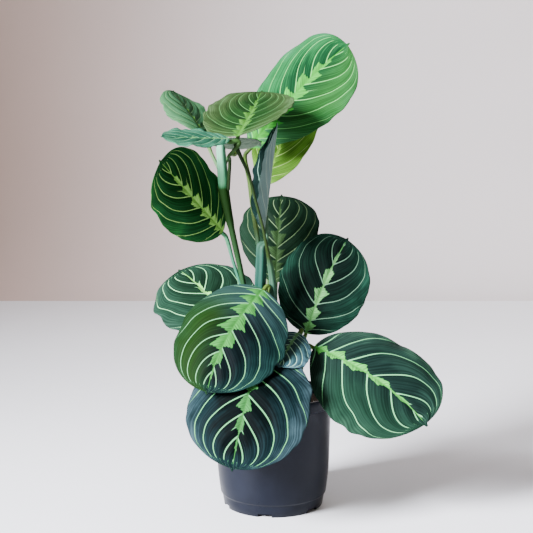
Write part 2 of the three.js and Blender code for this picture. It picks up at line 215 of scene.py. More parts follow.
# Stems and petioles: points along the axis, the radius at each, how deep the grooves are as a share
# of it, and the colours from foot to top
PETIOLE_RADIUS = 1.6
STEM_FOOT = 84
STEMS = {
    "stem_left": dict(
        points=((-12, 2, STEM_FOOT), (-19, 1, 158), (-27, 0, 205), (-39, 0, 262), (-41, 0, 271),
                (-46, 0, 297), (-46.5, 0, 303), (-49, 0, 341)),
        radii=(2.8, 2.6, 2.5, 2.9, 3.8, 4.9, 5, 4.2), groove=0.06,
        colours=((0, "#20402c"), (0.5, "#204024"), (0.7, "#203c1c"), (0.745, "#142c0c"),
                 (0.85, "#14300c"), (0.875, "#408058"), (1, "#5c9878"))),
    "stem_centre": dict(
        carries="top", groove=0.08,
        points=((0, 7, STEM_FOOT), (-6, 6, 150), (-10, 6, 206), (-15, 18, 250), (-20, 31, 283),
                (-23, 45, 305)),
        radii=(2.8, 2.6, 2.4, 2.2, 2.4, 2.4),
        colours=((0, "#386050"), (0.55, "#345840"), (0.62, "#384c20"), (1, "#3c5424"))),
    "sheath_folded": dict(
        carries="folded", groove=0.16,
        points=((-3, -5, STEM_FOOT), (-8, -6, 150), (-12.5, -6, 206), (-11.5, -7, 238),
                (-11, -7.5, 247)),
        radii=(3.2, 4.6, 5.3, 5, 4.8),
        colours=((0, "#10302a"), (0.5, "#143a32"), (0.8, "#204438"), (1, "#405c40"))),
    "petiole_top_back": dict(
        carries="top_back", points=((-4, 21, STEM_FOOT), (-5, 50, 205), (-9, 78, 262))),
    "petiole_crown": dict(
        carries="crown",
        points=((6, -3, STEM_FOOT), (2, -6, 160), (-0.5, -6, 206), (-2, -9, 222),
                (-6, -24, 246), (-10, -35, 268), (-16, -42, 291), (-22, -45, 314)),
        radii=(2.4, 3, 3.6, 3, 1.5, 1.3, 1.3, 1.3), groove=0.07,
        colours=((0, "#20402c"), (0.4, "#305040"), (0.5, "#34543c"), (0.54, "#283818"),
                 (0.85, "#14240e"), (1, "#1c3414"))),
    "petiole_upper_left": dict(
        carries="upper_left", points=((-46.5, 0, 306), (-51, 6, 318), (-58, 13, 332))),
    "petiole_level_left": dict(
        carries="level_left",
        points=((-42, -2, 298), (-41, -6, 310), (-40, -14, 326), (-40, -38, 331), (-35, -57, 337)),
        colours=((0, "#1c2c14"), (0.5, "#203418"), (0.8, "#28401c"), (1, "#2c4c24"))),
    "petiole_left": dict(
        carries="left", points=((-22, 0, 180), (-28.5, 5, 200), (-33, 5, 216), (-38, 4, 232)),
        colours=((0, "#286450"), (0.5, "#306850"), (0.85, "#3c704c"), (1, "#48783c"))),
    "petiole_level_back": dict(
        carries="level_back", points=((-46, 2, 310), (-45, 12, 322), (-41, 26, 330))),
    "petiole_back": dict(carries="back", points=((5, 20, STEM_FOOT), (4, 32, 150), (2, 40, 182))),
    "petiole_right_back": dict(
        carries="right_back", points=((14, 4, STEM_FOOT), (22, 6, 130), (25, 9, 145))),
    "petiole_low_left": dict(
        carries="low_left", points=((-20, -9, STEM_FOOT), (-25, -13, 130), (-26, -12, 148))),
    "petiole_front": dict(
        carries="front", points=((-9, -14, STEM_FOOT), (-10, -15, 160), (-7, -14, 194), (-5, -13, 206))),
    "petiole_right": dict(
        carries="right", points=((15, -4, STEM_FOOT), (26, -9, 130), (29, -11, 150))),
    "petiole_bottom": dict(
        carries="bottom", points=((-2, -20, STEM_FOOT), (-5, -21, 130), (-8, -21, 155))),
    "petiole_curled": dict(
        carries="curled", points=((10, -14, STEM_FOOT), (18, -11, 140), (24, -8, 160))),
}
PETIOLE_COLOURS = (
    (0, "#385c44"), (0.45, "#446438"), (0.8, "#4c642c"), (0.9, "#3c501c"), (1, "#5c7c38"))

# The pot's profile as radius and height, from the middle of its foot pad round to its floor
POT_PROFILE = (
    (0, 0), (7.5, 0), (8, 0.5), (8, 5), (44.6, 5), (44.6, 0.5), (45.1, 0), (46.5, 0), (47, 0.5),
    (48.3, 8), (48.55, 10.6), (48.9, 11.6), (50.1, 12.4), (50.4, 13.3), (51.8, 24), (53, 36),
    (53.7, 60), (54.2, 85), (54.5, 95.4), (54.8, 96.4), (55.6, 96.9), (56.4, 97.1), (57, 97.8),
    (57, 103), (57, 107), (56.7, 107.7), (56, 108), (54.8, 108), (54.1, 107.7), (53.8, 107),
    (52.8, 96), (52.4, 85), (51.9, 60), (51.2, 36), (50, 24), (48.6, 14.5), (46.8, 12),
    (46.4, 7.5), (45.9, 7), (0, 7))
DRAINS = 6
DRAIN_RADIUS = 4.5
DRAIN_CIRCLE = 30
DRAIN_MIDDLE = 6
DRAIN_DEPTH = 8
NOTCH_SIZE = (12, 13, 6)
NOTCH_CIRCLE = 47
NOTCH_FIRST_ANGLE = -100
POT_SHARP_ANGLE = 40

# The soil, and the least and greatest radius and the flatness of perlite and of bark
SOIL_TOP = 98
SOIL_RADIUS = 52.9
SOIL_DEPTH = 8
SOIL_RINGS = 44
SOIL_SEGMENTS = 120
BITS_CIRCLE = 50
BITS = ((0.8, 1.7, 0.9), (1.0, 2.8, 0.4))
PERLITE_SHARE = 0.45

# The stage, in metres: the floor reaches STAGE_REACH to each side, and the wall behind curves up
# out of it from WALL_START
STAGE_REACH = 3
WALL_START = 1.2
WALL_CURVE = 0.3
WALL_STEPS = 17
WALL_HEIGHT = 3

# Each light's setting, spot, target, size, spread in degrees and colour
LIGHTS = {
    "Window light": ("window_power", (-1.5, -1.15, 1.15), (0.7, 0, 0.1), 0.8, 80, "#f4f6ff"),
    "Sky light": ("sky_power", (-0.3, 0.7, 1.9), (0, 0, 0.2), 1.0, 180, "#c8dcff"),
    "Room light": ("room_power", (0.5, -1.9, 2.0), (0, 0, 0.2), 2.0, 180, "#ffdcc8"),
    "Wall light": ("wall_power", (0.5, 0.45, 1.5), (0.25, 1.5, 0.6), 0.8, 150, "#fff6f2"),
}
CAMERA_SPOT = (-0.0065, -1.07, 0.368)
CAMERA_PITCH = 7.5


# Helpers

# Settings that many nodes share
SMOOTH = {"interpolation_type": "SMOOTHSTEP"}
COLOURS = {"data_type": "RGBA"}
TIMES = {"data_type": "RGBA", "blend_type": "MULTIPLY"}


def linear(code):
    """Turns an sRGB hex colour into the linear colour that the shaders take."""
    parts = [int(code[i:i + 2], 16) / 255 for i in (1, 3, 5)]
    return [p / 12.92 if p <= 0.04045 else ((p + 0.055) / 1.055) ** 2.4 for p in parts] + [1.0]


def feed(node, inputs):
    """Gives each named input its value, or a link from a socket or from a node's first live output."""
    for name, source in inputs.items():
        if isinstance(source, bpy.types.Node):
            source = next(socket for socket in source.outputs if socket.enabled)
        if isinstance(source, bpy.types.NodeSocket):
            node.id_data.links.new(source, node.inputs[name])
        else:
            node.inputs[name].default_value = source


def add_node(tree, kind, inputs=None, **settings):
    """Adds a node with its settings and its inputs."""
    node = tree.nodes.new(f"ShaderNode{kind}")
    for name, value in settings.items():
        setattr(node, name, value)
    feed(node, inputs or {})
    return node


def set_stops(ramp, stops):
    """Gives a colour ramp its stops, as (place, colour) pairs."""
    elements = ramp.color_ramp.elements
    while len(elements) > 1:
        elements.remove(elements[-1])
    for i, (place, colour) in enumerate(stops):
        stop = elements[0] if i == 0 else elements.new(place)
        stop.position = place
        stop.color = colour


def new_material(name):
    """A material, the function that adds a node to it, and its Principled shader."""
    material = bpy.data.materials.new(name)
    material.use_nodes = True
    tree = material.node_tree
    return material, partial(add_node, tree), tree.nodes["Principled BSDF"]


def add_object(name, mesh):
    """Turns a bmesh into an object of the scene."""
    data = bpy.data.meshes.new(name)
    mesh.to_mesh(data)
    mesh.free()
    made = bpy.data.objects.new(name, data)
    bpy.context.scene.collection.objects.link(made)
    return made


def finish_mesh(name, mesh, materials, node=None, slot=None):
    """Turns a bmesh into a smooth object, and stands it in for a node of the frame."""
    piece = add_object(name, mesh)
    piece.data.shade_smooth()
    for material in materials:
        piece.data.materials.append(material)
    if slot:
        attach(piece, "root")
    if node:
        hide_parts(node)
    return piece


def turn_profile(profile, steps):
    """Spins a profile of (radius, height) points in mm round the upright axis, into a closed body."""
    mesh = bmesh.new()
    corners = [mesh.verts.new((radius * MM, 0, height * MM)) for radius, height in profile]
    edges = [mesh.edges.new(pair) for pair in zip(corners, corners[1:])]
    bmesh.ops.spin(mesh, geom=corners + edges, cent=(0, 0, 0), axis=(0, 0, 1),
                   angle=2 * math.pi, steps=steps, use_merge=True)
    bmesh.ops.remove_doubles(mesh, verts=mesh.verts, dist=MERGE_DISTANCE * MM)
    bmesh.ops.recalc_face_normals(mesh, faces=mesh.faces)
    return mesh


def sheet_grid(columns, rows):
    """A flat grid, with the column and row of each vertex."""
    mesh = bmesh.new()
    bmesh.ops.create_grid(mesh, x_segments=columns, y_segments=rows, size=1)
    places = [(round((v.co.x + 1) / 2 * columns), round((v.co.y + 1) / 2 * rows)) for v in mesh.verts]
    return mesh, places


def smooth_step(t):
    """Eases from 0 to 1 as t does."""
    return t * t * (3 - 2 * t)


# The form of a blade

def turned(start, towards, degrees):
    """Turns one of two unit vectors towards the other."""
    c, s = math.cos(math.radians(degrees)), math.sin(math.radians(degrees))
    return start * c + towards * s, towards * c - start * s


def midrib(leaf):
    """The points of a midrib, each with its direction, the blade's right side and its upper side."""
    heading, pitch = math.radians(leaf["heading"]), math.radians(leaf["pitch"])
    along = Vector((math.cos(heading) * math.cos(pitch), math.sin(heading) * math.cos(pitch),
                    math.sin(pitch)))
    right = Vector((math.sin(heading), -math.cos(heading), 0))
    up = right.cross(along)
    at = Vector(leaf["base"])
    rows = []
    for i in range(MIDRIB_STEPS + 1):
        roll = leaf["roll"] + leaf["twist"] * i / MIDRIB_STEPS
        side, face = turned(right, up, -roll)
        rows.append((at.copy(), along.copy(), side, face))
        share = (i + 0.5) / MIDRIB_STEPS
        along, up = turned(along, up, -leaf["droop"] / MIDRIB_STEPS * (0.5 + share))
        along, right = turned(along, right, leaf["sway"] / MIDRIB_STEPS)
        at = at + along * (leaf["length"] / MIDRIB_STEPS)
    return rows


def row_at(rows, u):
    """The midrib's point and directions at a share u of its length."""
    x = min(max(u, 0), 1) * MIDRIB_STEPS
    i = min(int(x), MIDRIB_STEPS - 1)
    return [rows[i][k].lerp(rows[i + 1][k], x - i) for k in range(4)]


def half_width(u, peak):
    """The half width at a share u of the length, as a share of half the greatest width."""
    body = min(u / (1 - POINT_LENGTH), 1)
    oval = math.sqrt(max(1 - abs(1 - 2 * body ** peak) ** OVAL_POWER, 0))
    point = POINT_SHARE * math.sqrt(min(max(1 - u, 0) / POINT_RUN, 1)) if u > 0.5 else 0
    return max(oval, point, BLADE_BASE_SHARE if u < 0.5 else BLADE_TIP_SHARE)


def half_width_mm(leaf, u):
    """The same half width in mm."""
    return half_width(u, leaf["peak"]) * leaf["width"] / 2


def vein_run(w, v):
    """The share u that the vein from w reaches at v, and how that grows with w and with v."""
    t = min(max(w / VEIN_CURL_END, 0), 1)
    curl = VEIN_CURL * smooth_step(t)
    curl_growth = VEIN_CURL * 6 * t * (1 - t) / VEIN_CURL_END
    slope = VEIN_RISE + VEIN_SPREAD * w
    return (w + slope * v + curl * v ** 4, 1 + VEIN_SPREAD * v + curl_growth * v ** 4,
            slope + 4 * curl * v ** 3)


def vein_count(leaf, u, v):
    """How many veins lie below a place on the blade, and the interval between them there in mm."""
    low, high = VEIN_SEARCH
    for _ in range(VEIN_HALVINGS):
        w = (low + high) / 2
        if vein_run(w, abs(v))[0] < u:
            low = w
        else:
            high = w
    even = min(w, VEIN_EVEN)
    step = VEIN_STEP + VEIN_GROWTH * even
    count = math.log(step / VEIN_STEP) / VEIN_GROWTH + (w - even) / step
    _, with_w, with_v = vein_run(w, abs(v))
    half = max(half_width_mm(leaf, u), 1)
    spread = leaf["veins"][0]
    interval = step * spread * with_w / math.hypot(1 / leaf["length"], with_v / half)
    return count / spread, interval


def blade_point(leaf, row, u, v, lift):
    """The point of the blade's middle layer, lift above it, at a share u along and v across."""
    at, _, side, face = row
    half = leaf["width"] / 2
    sign = -1 if v < 0 else 1
    bay = noise.noise(Vector((u * 8, sign * 4, leaf["length"])))
    share = half_width(u, leaf["peak"]) * (1 + EDGE_BAYS * bay * abs(v))
    out = abs(v) * share * half
    bend = math.radians(leaf["cup"][1] if v < 0 else leaf["cup"][0]) / half
    flat = abs(bend) < 1e-6
    across = out if flat else math.sin(bend * out) / bend
    rise = 0 if flat else (1 - math.cos(bend * out)) / bend
    start = WAVE_START_LEFT if v < 0 else WAVE_START_RIGHT
    ruffle = EDGE_RUFFLE * noise.noise(Vector((u * 10, sign * 6, leaf["width"])))
    wave = leaf["wave"] * math.sin(2 * math.pi * (WAVES * u + start))
    rise += (wave + ruffle * abs(v) ** 2) * abs(v) ** 3 * share ** 2
    normal = face * math.cos(bend * out) - side * (sign * math.sin(bend * out))
    return at + side * (sign * across) + face * rise + normal * lift


def blade_relief(leaf, u, v, phase, interval):
    """How far the face stands up between its veins and sinks at the midrib."""
    half = half_width_mm(leaf, u)
    out = abs(v) * half
    fade = (1 - abs(v) ** 4) * min(half / NARROW_BLADE, 1)
    pleat = PLEAT * min(interval / WIDE_INTERVAL, 1) * (0.5 - 0.5 * math.cos(2 * math.pi * phase))
    groove = GROOVE * math.exp(-(out / GROOVE_REACH) ** 2)
    return (pleat * min(out / PLEAT_START, 1) - groove) * fade


def build_blade(name, leaf, settings):
    """The blade as a fine sheet, with the UV maps for its pattern."""
    rows = midrib(leaf)
    columns, steps = settings.columns, settings.rows
    mesh, places = sheet_grid(columns, steps)
    shift = Vector((leaf["veins"][1] * 7, len(name), leaf["length"]))
    us = [t / steps - ROW_BUNCHING * math.sin(2 * math.pi * t / steps) for t in range(steps + 1)]
    vs = [math.copysign(abs(t) ** COLUMN_BUNCHING, t)
          for t in (2 * j / columns - 1 for j in range(columns + 1))]
    facts = {}
    for vertex, (j, i) in zip(mesh.verts, places):
        u, v = us[i], vs[j]
        wobble = noise.noise(Vector((u * 3, v * 2, 0)) + shift)
        count, interval = vein_count(leaf, u, v)
        count += VEIN_WOBBLE * wobble
        phase = count + leaf["veins"][1 if v > 0 else 2]
        lift = blade_relief(leaf, u, v, phase, interval) + FACE_WOBBLE * wobble
        vertex.co = blade_point(leaf, row_at(rows, u), u, v, lift) * MM

        # The veins thin out towards the tip and the margin, and fade where they crowd
        half = half_width_mm(leaf, u)
        inset = min((1 - abs(v)) * half, (1 - u) * leaf["length"] * 2.5)
        closeness = (1 - min(inset / (leaf["width"] / 2), 1)) * min(0.4 + (1 - u) / 0.1, 1)
        line = leaf["line"] / 2 * (1.05 - 0.45 * abs(v)) * (1 - 0.3 * u)
        thin = 1 + max(closeness - 0.9, 0) * 40 + max(u - 0.93, 0) * 2000
        shown = min(max(interval / leaf["line"] / 1.5 - 0.6, 0), 1)

        # The feather is short at the base, fades out at the tip, and its lobes differ in length
        envelope = min(0.6 + u * 6, 1, max((0.93 - u) / 0.4, 0))
        size = 0.9 + 0.5 * noise.noise(Vector((u * 7, 5 * math.copysign(1, v), 0)) + shift)
        across = abs(v) * half + 0.9 * u + max(u - 0.94, 0) * 30
        facts[vertex.index] = (count, interval / line * thin), {
            "feather": (across, leaf["reach"] * envelope * size),
            "margin": (closeness, shown),
            "blade": (u, v)}
    layers = {layer: mesh.loops.layers.uv.new(layer) for layer in BLADE_MAPS}
    for face in mesh.faces:
        middle = sum(places[v.index][0] for v in face.verts) / len(face.verts)
        start = leaf["veins"][1 if middle > columns / 2 else 2] + VEIN_FIRST
        for loop in face.loops:
            (count, fineness), others = facts[loop.vert.index]
            loop[layers["veins"]].uv = (count + start, fineness)
            for layer, pair in others.items():
                loop[layers[layer]].uv = pair
    return mesh


# Materials

def leaf_face_material(name, look, settings):
    """Living leaf, satin and a little waxy: dark between pale veins, with a light ragged feather."""
    material, add, skin = new_material(name)
    (count, fineness), (across, reach), (closeness, shown), (u, v) = (
        add("SeparateXYZ", {0: add("UVMap", uv_map=layer)}).outputs[:2]
        for layer in BLADE_MAPS)
    spot = add("TexCoord").outputs["Object"]
    feather_colour, vein_colour = linear(look["feather"]), linear(look["vein"])

    # Fine ribs run beside the veins in uneven streaks, and fade with them. They are drawn about
    # twice as coarse as the real ones, which would be too fine to show. Patches of 22 mm differ.
    rib_place = add("VectorMath", {
        0: add("CombineXYZ", {"X": count, "Y": closeness, "Z": v}), 1: (10, 1.2, 1.2)},
        operation="MULTIPLY")
    ribs = add("Mix", {"Factor": shown, "A": 0.5, "B": add("TexNoise", {
        "Vector": rib_place, "Scale": 1.0, "Detail": 2.0, "Roughness": 0.6})})
    strands = add("Math", {0: add("Math", {0: count, 1: 50.0}, operation="MULTIPLY")},
                  operation="SINE")
    strength = add("Math", {0: shown, 1: 0.1}, operation="MULTIPLY")
    grain = add("Math", {0: strands, 1: strength, 2: ribs}, operation="MULTIPLY_ADD")
    mottle = add("TexNoise", {"Vector": spot, "Scale": 45.0, "Detail": 3.0, "Roughness": 0.55})

    # The colour between the veins goes from dark at the midrib to pale at the margin
    unevenness = add("Math", {0: ribs, 1: 0.42, 2: -0.385}, operation="MULTIPLY_ADD")
    drift = add("Math", {0: closeness, 1: 0.75, 2: unevenness}, operation="MULTIPLY_ADD")
    flesh = add("ValToRGB", {0: add("Math", {0: mottle, 1: 0.6, 2: drift},
                                    operation="MULTIPLY_ADD")})
    inner, middle, outer = (linear(code) for code in look["face"])
    set_stops(flesh, ((0, inner), (0.38, inner), (0.72, middle), (0.93, outer), (1, outer)))
    # Painted light and shade: some blades are coloured lighter or darker on their right half and towards
    # their base, as light falls there
    for painted_shading, share, start, end, most in (("side", v, -0.1, 0.6, 0.7), ("near", u, 0.42, 0.05, 0.75)):
        if painted_shading in look:
            amount = add("MapRange", {
                "Value": share, "From Min": start, "From Max": end, "To Max": most}, **SMOOTH)
            flesh = add("Mix", {"Factor": amount, "A": flesh, "B": linear(look[painted_shading])}, **COLOURS)
    streaked = add("Mix", {"Factor": 1.0, "A": flesh, "B": add("MapRange", {
        "Value": grain, "From Min": 0.35, "From Max": 0.65, "To Min": 0.72, "To Max": 1.28})}, **TIMES)

    # The veins, and between some of them a thin spike that runs out from the point of a lobe
    nearest = add("Math", {0: count, 1: 0.5}, operation="PINGPONG")
    line = add("MapRange", {
        "Value": add("Math", {0: nearest, 1: fineness}, operation="MULTIPLY"),
        "From Min": 1.35, "From Max": 0.6, "To Max": shown}, **SMOOTH)
    lobe = add("TexWhiteNoise", {"W": add("Math", {0: count}, operation="FLOOR")},
               noise_dimensions="1D")
    spike_length = add("MapRange", {
        "Value": lobe, "From Min": 0.45, "From Max": 1.0, "To Min": 0.9, "To Max": 2.8})
    spike_end = add("Math", {0: reach, 1: spike_length}, operation="MULTIPLY")
    beyond = add("Math", {0: across, 1: spike_end}, operation="DIVIDE")
    spike_width = add("Math", {0: 1.0, 1: beyond}, operation="SUBTRACT", use_clamp=True)
    off_middle = add("Math", {0: 0.5, 1: nearest}, operation="SUBTRACT")
    off_spike = add("Math", {0: off_middle, 1: fineness}, operation="MULTIPLY")
    spike_half = add("Math", {0: spike_width, 1: 1.6}, operation="MULTIPLY")
    in_spike = add("Math", {0: spike_half, 1: off_spike}, operation="SUBTRACT")
    spike = add("MapRange", {"Value": in_spike, "From Max": 0.4, "To Max": 0.8}, **SMOOTH)
    spiked = add("Mix", {"Factor": spike, "A": streaked, "B": vein_colour}, **COLOURS)
    veined = add("Mix", {"Factor": line, "A": spiked, "B": vein_colour}, **COLOURS)

    # Each lobe of the feather hangs from its vein, and runs out to a point midway to the next one
    lobe_outline = add("ValToRGB", {0: add("Math", {0: count}, operation="FRACT")})
    set_stops(lobe_outline, [(place, (share, share, share, 1)) for place, share in LOBE_OUTLINE])
    inwards = add("Math", {0: across, 1: -1.0}, operation="MULTIPLY")
    left_over = add("Math", {0: lobe_outline, 1: reach, 2: inwards}, operation="MULTIPLY_ADD")
    ragged = add("Math", {0: ribs, 1: 1.4, 2: left_over}, operation="MULTIPLY_ADD")
    in_feather = add("MapRange", {"Value": ragged, "From Min": 0.45, "From Max": 1.05}, **SMOOTH)
    plume = add("Mix", {"Factor": 1.0, "A": feather_colour, "B": add("MapRange", {
        "Value": grain, "From Min": 0.3, "From Max": 0.7, "To Min": 0.55, "To Max": 1.3})}, **TIMES)
    lined_plume = add("Mix", {
        "Factor": add("Math", {0: line, 1: 0.45}, operation="MULTIPLY"),
        "A": plume, "B": vein_colour}, **COLOURS)
    feathered = add("Mix", {"Factor": in_feather, "A": veined, "B": lined_plume}, **COLOURS)
    midrib_line = add("MapRange", {"Value": across, "From Min": 1.5, "From Max": 0.9}, **SMOOTH)
    midrib_skin = add("Mix", {"Factor": 1.0, "A": feather_colour, "B": settings.midrib_tint}, **TIMES)
    whole = add("Mix", {"Factor": midrib_line, "A": feathered, "B": midrib_skin}, **COLOURS)

    height = add("Math", {0: line, 1: -0.7, 2: grain}, operation="MULTIPLY_ADD")
    feed(skin, {
        "Base Color": whole,
        "Normal": add("Bump", {"Strength": 0.5, "Distance": 0.35 * MM, "Height": height}),
        "Roughness": add("MapRange", {
            "Value": mottle, "From Min": 0.3, "From Max": 0.7, "To Min": 0.52, "To Max": 0.66}),
        "IOR": 1.07})
    return material


def leaf_under_material(name, look, settings):
    """The underside of the same leaf: matt and grey-green, with fine raised veins."""
    material, add, skin = new_material(name)
    (count, fineness), (across, _), (_, shown) = (
        add("SeparateXYZ", {0: add("UVMap", uv_map=layer)}).outputs[:2]
        for layer in BLADE_MAPS[:3])
    rib_place = add("VectorMath", {
        0: add("CombineXYZ", {"X": count, "Y": across}), 1: (15, 0.03, 1)},
        operation="MULTIPLY")
    ribs = add("Mix", {"Factor": shown, "A": 0.5, "B": add("TexNoise", {
        "Vector": rib_place, "Scale": 1.0, "Detail": 2.0})})
    nearest = add("Math", {0: count, 1: 0.5}, operation="PINGPONG")
    line = add("MapRange", {
        "Value": add("Math", {0: nearest, 1: fineness}, operation="MULTIPLY"),
        "From Min": 1.3, "From Max": 0.5,
        "To Max": add("Math", {0: shown, 1: 0.55}, operation="MULTIPLY")}, **SMOOTH)
    midrib_line = add("MapRange", {
        "Value": across, "From Min": 1.6, "From Max": 0.8, "To Max": 0.8}, **SMOOTH)
    matt = add("Mix", {
        "Factor": 0.6, "A": linear(look["under"]), "B": add("MapRange", {
            "Value": ribs, "From Min": 0.3, "From Max": 0.7, "To Min": 0.7, "To Max": 1.1})}, **TIMES)
    any_line = add("Math", {0: line, 1: midrib_line}, operation="MAXIMUM")
    veined = add("Mix", {
        "Factor": any_line, "A": matt, "B": settings.under_vein_colour}, **COLOURS)
    height = add("Math", {0: line, 1: ribs}, operation="ADD")
    feed(skin, {
        "Base Color": veined,
        "Normal": add("Bump", {"Strength": 0.6, "Distance": 0.4 * MM, "Height": height}),
        "Roughness": 0.65,
        "IOR": 1.2})
    return material


def stem_material(name, stops):
    """Green stem skin, smooth with a faint bloom, in streaks an eighteenth of the way round."""
    material, add, skin = new_material(name)
    place = add("UVMap", uv_map="stem")
    streaks = add("TexNoise", {
        "Vector": add("VectorMath", {0: place, 1: (4, 9, 1)}, operation="MULTIPLY"),
        "Scale": 2.0, "Detail": 4.0, "Roughness": 0.6})
    along = add("SeparateXYZ", {0: place})
    colour = add("ValToRGB", {
        0: add("Math", {0: streaks, 1: 0.02, 2: along}, operation="MULTIPLY_ADD")})
    set_stops(colour, [(share, linear(code)) for share, code in stops])
    streaked = add("Mix", {"Factor": 0.7, "A": colour, "B": add("MapRange", {
        "Value": streaks, "From Min": 0.3, "From Max": 0.7, "To Min": 0.6, "To Max": 1.15})}, **TIMES)
    feed(skin, {
        "Base Color": streaked,
        "Normal": add("Bump", {"Strength": 0.5, "Distance": 0.3 * MM, "Height": streaks}),
        "Roughness": 0.5,
        "IOR": 1.15})
    return material


def pot_material(settings):
    """Injection-moulded polypropylene, black with a blue cast: fine moulded grain, a little dust."""
    material, add, skin = new_material("Moulded black polypropylene")
    spot = add("TexCoord").outputs["Object"]
    # The moulded grain is drawn 0.6 mm wide, several times too coarse, so that it shows at all.
    # The dust lies in patches of 26 mm.
    grain = add("TexNoise", {"Vector": spot, "Scale": 1800.0, "Detail": 2.0})
    dust = add("TexNoise", {"Vector": spot, "Scale": 38.0, "Detail": 6.0, "Roughness": 0.65})
    dusty = add("MapRange", {"Value": dust, "From Min": 0.45, "From Max": 0.75, "To Max": 0.35})
    feed(skin, {
        "Base Color": add("Mix", {
            "Factor": dusty, "A": settings.colour, "B": settings.dust_colour}, **COLOURS),
        "Roughness": add("MapRange", {
            "Value": dust, "From Min": 0.3, "From Max": 0.7, "To Min": 0.26, "To Max": 0.4}),
        "Normal": add("Bump", {"Strength": 0.25, "Distance": 0.1 * MM, "Height": grain}),
        "IOR": 1.2})
    return material


def soil_material(settings):
    """Damp peat: crumbs of 2.4 mm and fibres of 4 mm, brown, and lighter where they have dried."""
    material, add, skin = new_material("Damp peat")
    spot = add("TexCoord").outputs["Object"]
    crumbs = add("TexVoronoi", {"Vector": spot, "Scale": 420.0})
    fibres = add("TexNoise", {"Vector": spot, "Scale": 260.0, "Detail": 6.0, "Roughness": 0.7})
    colour = add("ValToRGB", {0: fibres})
    set_stops(colour, ((0.3, settings.damp_colour), (0.55, settings.colour),
                       (0.75, settings.dry_colour)))
    height = add("Math", {0: crumbs, 1: -0.8, 2: fibres}, operation="MULTIPLY_ADD")
    feed(skin, {
        "Base Color": colour,
        "Normal": add("Bump", {"Strength": 0.9, "Distance": 1.6 * MM, "Height": height}),
        "Roughness": 0.92})
    return material


def crumb_material(name, light, dark, scale):
    """Loose bits on the soil: white perlite with pores of 1 mm, or pine bark with a grain of 2 mm."""
    material, add, skin = new_material(name)
    pores = add("TexNoise", {
        "Vector": add("TexCoord").outputs["Object"], "Scale": scale, "Detail": 4.0})
    colour = add("ValToRGB", {0: pores})
    set_stops(colour, ((0.35, linear(dark)), (0.6, linear(light))))
    feed(skin, {
        "Base Color": colour,
        "Normal": add("Bump", {"Strength": 0.7, "Distance": 0.5 * MM, "Height": pores}),
        "Roughness": 0.88})
    return material


def paint_material(name, colour, shaded, roughness):
    """Matt emulsion paint, faintly uneven every 0.3 m as a roller leaves it, with painted shade to the
    left.
    """
    material, add, skin = new_material(name)
    spot = add("TexCoord").outputs["Object"]
    coat = add("TexNoise", {"Vector": spot, "Scale": 3.0, "Detail": 5.0})
    # Painted shade: towards the left the paint turns to the warmer, darker shaded colour, where less
    # light falls
    painted_shade = add("MapRange", {
        "Value": add("SeparateXYZ", {0: spot}), "From Min": 0.2, "From Max": -0.7}, **SMOOTH)
    paint = add("Mix", {"Factor": painted_shade, "A": colour, "B": shaded}, **COLOURS)
    uneven = add("MapRange", {
        "Value": coat, "From Min": 0.3, "From Max": 0.7, "To Min": 0.96, "To Max": 1.0})
    feed(skin, {
        "Base Color": add("Mix", {"Factor": 1.0, "A": paint, "B": uneven}, **TIMES),
        "Roughness": roughness})
    return material


# Settings

def colour_setting(name, description, default):
    """A colour that the user can change."""
    return FloatVectorProperty(name=name, description=description, subtype="COLOR", size=4,
                               default=default)


def power_setting(name, description, default):
    """The power of a light in watts."""
    return FloatProperty(name=name, description=description, unit="POWER", default=default)


class BladeSettings(bpy.types.PropertyGroup):
    columns: IntProperty(name="Columns", description="Divisions across a blade", default=80, min=8)
    rows: IntProperty(name="Rows", description="Divisions along a blade", default=110, min=8)
    thickness: FloatProperty(name="Thickness", description="Thickness of a blade", unit="LENGTH",
                             subtype="DISTANCE", default=0.6 * MM)
    midrib_tint: colour_setting("Midrib", "What the midrib keeps of the feather's colour",
                                (0.8, 0.85, 0.75, 1.0))
    under_vein_colour: colour_setting("Veins below", "Colour of the veins on the underside",
                                      linear("#9cb09c"))


class StemSettings(bpy.types.PropertyGroup):
    sides: IntProperty(name="Sides", description="Divisions round a stem", default=28, min=8)
    steps: IntProperty(name="Steps", description="Divisions along a stem", default=90, min=8)


class PotSettings(bpy.types.PropertyGroup):
    segments: IntProperty(name="Segments", description="Divisions round the pot", default=160)
    colour: colour_setting("Plastic", "Colour of the plastic", linear("#0d1019"))
    dust_colour: colour_setting("Dust", "Colour of the dust on it", linear("#1b1f29"))


class SoilSettings(bpy.types.PropertyGroup):
    bits: IntProperty(name="Loose bits", description="Bits of perlite and bark", default=170)
    colour: colour_setting("Peat", "Colour of the peat", linear("#3f2e22"))
    damp_colour: colour_setting("Damp peat", "Colour in its hollows", linear("#1c1410"))
    dry_colour: colour_setting("Dry peat", "Colour of its dry crumbs", linear("#6a5240"))


class StageSettings(bpy.types.PropertyGroup):
    floor_colour: colour_setting("Floor", "Colour of the floor", linear("#e9e9ea"))
    wall_colour: colour_setting("Wall", "Colour of the wall", linear("#d6cfcd"))
    # Painted shade on the wall's left side, warmer and darker
    painted_shade_colour: colour_setting("Shaded wall", "Colour of its aged side", linear("#c8b0a4"))
    lens: FloatProperty(name="Lens", description="Focal length in mm", default=78)
    window_power: power_setting("Window light", "Power of the large light", 96)
    sky_power: power_setting("Sky light", "Power of the cool light from above", 5)
    room_power: power_setting("Room light", "Power of the weak light from the front", 5)
    wall_power: power_setting("Wall light", "Power of the light on the wall", 10)


# Operators

